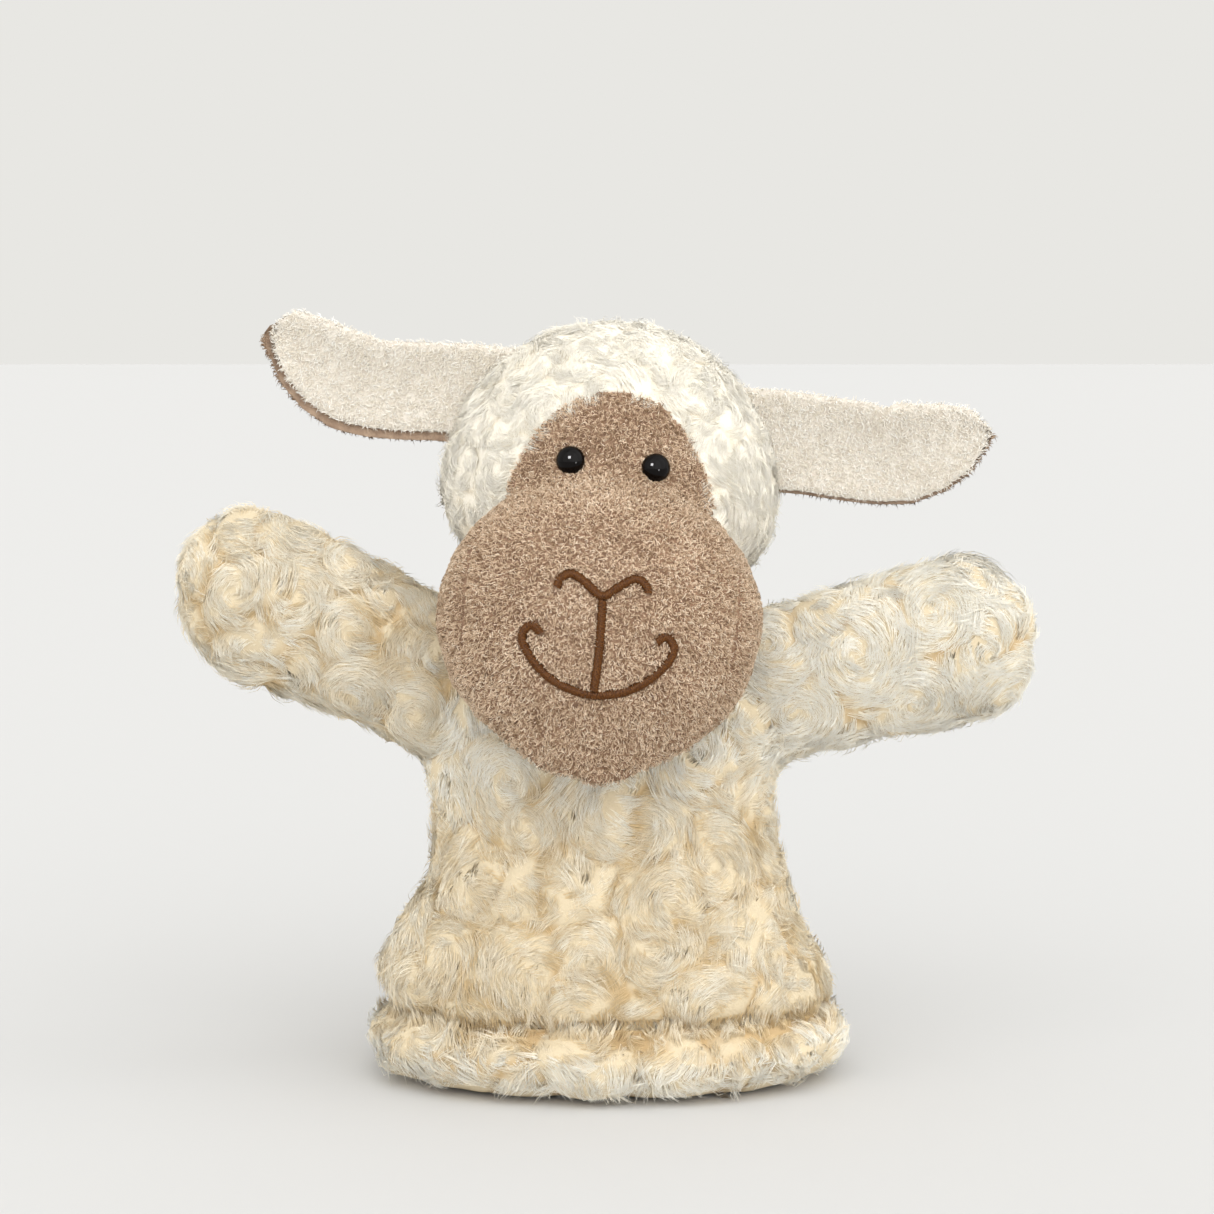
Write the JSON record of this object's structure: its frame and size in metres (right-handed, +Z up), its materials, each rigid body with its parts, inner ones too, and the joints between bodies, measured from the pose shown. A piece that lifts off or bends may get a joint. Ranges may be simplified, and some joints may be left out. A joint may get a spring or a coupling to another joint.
{
  "type": "hand puppet",
  "caption": "Plush sheep glove puppet with a stuffed head, finger-worked arms and neck, floppy ears and an open hem for the hand.",
  "frame": {"origin": "on the surface the hem stands on, under the middle of the puppet's bounding box", "axes": "+Z up from hem to crown, -Y the way the face looks, +X towards the puppet's own left arm"},
  "size_m": [0.285, 0.1307, 0.2583],
  "materials": {
    "cream_fleece": "long curly pile",
    "white_fleece": "short curly pile",
    "taupe_plush": "short looped pile",
    "cream_plush": "short velvety pile",
    "lining_cloth": "plain woven",
    "fibre_filling": "loose fibre",
    "black_eye": "polished",
    "washer_plastic": "moulded",
    "brown_thread": "satin stitch"
  },
  "bodies": {
    "torso": {"body_front_panel": "cream_fleece", "body_back_panel": "cream_fleece", "body_lining": "lining_cloth", "hem_roll": "cream_fleece"},
    "neck": {"neck_sleeve": "lining_cloth"},
    "head": {"crown_left_panel": "white_fleece", "crown_right_panel": "white_fleece", "face_patch": "taupe_plush", "muzzle_panel": "taupe_plush", "chin_panel": "taupe_plush", "head_filling": "fibre_filling", "muzzle_filling": "fibre_filling", "finger_pocket": "lining_cloth", "left_eye": "black_eye", "right_eye": "black_eye", "left_eye_washer": "washer_plastic", "right_eye_washer": "washer_plastic", "nose_embroidery": "brown_thread", "lip_embroidery": "brown_thread", "mouth_embroidery": "brown_thread"},
    "left_arm": {"left_sleeve_front": "cream_fleece", "left_sleeve_back": "cream_fleece", "left_sleeve_lining": "lining_cloth"},
    "left_paw": {"left_paw_front": "cream_fleece", "left_paw_back": "cream_fleece", "left_paw_lining": "lining_cloth"},
    "left_ear": {"left_ear_front": "cream_plush", "left_ear_back": "taupe_plush"},
    "right_arm": {"right_sleeve_front": "cream_fleece", "right_sleeve_back": "cream_fleece", "right_sleeve_lining": "lining_cloth"},
    "right_paw": {"right_paw_front": "cream_fleece", "right_paw_back": "cream_fleece", "right_paw_lining": "lining_cloth"},
    "right_ear": {"right_ear_front": "cream_plush", "right_ear_back": "taupe_plush"}
  },
  "joints": [
    {"name": "head_turn", "type": "hinge", "parent": "torso", "child": "neck", "pos_m": [-0.003, 0.0153, 0.15], "axis": [0, 0, 1], "range_deg": [-18, 18]},
    {"name": "head_nod", "type": "hinge", "parent": "neck", "child": "head", "pos_m": [-0.003, 0.0153, 0.15], "axis": [1, 0, 0], "range_deg": [-12, 8]},
    {"name": "left_arm_raise", "type": "hinge", "parent": "torso", "child": "left_arm", "pos_m": [0.061, 0.0193, 0.132], "axis": [0, -1, 0], "range_deg": [-40, 10]},
    {"name": "right_arm_raise", "type": "hinge", "parent": "torso", "child": "right_arm", "pos_m": [-0.061, 0.0193, 0.135], "axis": [0, 1, 0], "range_deg": [-50, 8]},
    {"name": "left_paw_bend", "type": "hinge", "parent": "left_arm", "child": "left_paw", "pos_m": [0.10369, -0.0019, 0.14264], "axis": [0.2419, 0, -0.9703], "range_deg": [0, 35]},
    {"name": "right_paw_bend", "type": "hinge", "parent": "right_arm", "child": "right_paw", "pos_m": [-0.1002, -0.0011, 0.15498], "axis": [0.454, 0, 0.891], "range_deg": [0, 35]},
    {"name": "left_ear_flap", "type": "hinge", "parent": "head", "child": "left_ear", "pos_m": [0.05785, 0.0133, 0.21444], "axis": [0.3671, 0, -0.9302], "range_deg": [-35, 40]},
    {"name": "right_ear_flap", "type": "hinge", "parent": "head", "child": "right_ear", "pos_m": [-0.04764, 0.0133, 0.2307], "axis": [0.5648, 0, 0.8252], "range_deg": [-35, 40]}
  ]
}
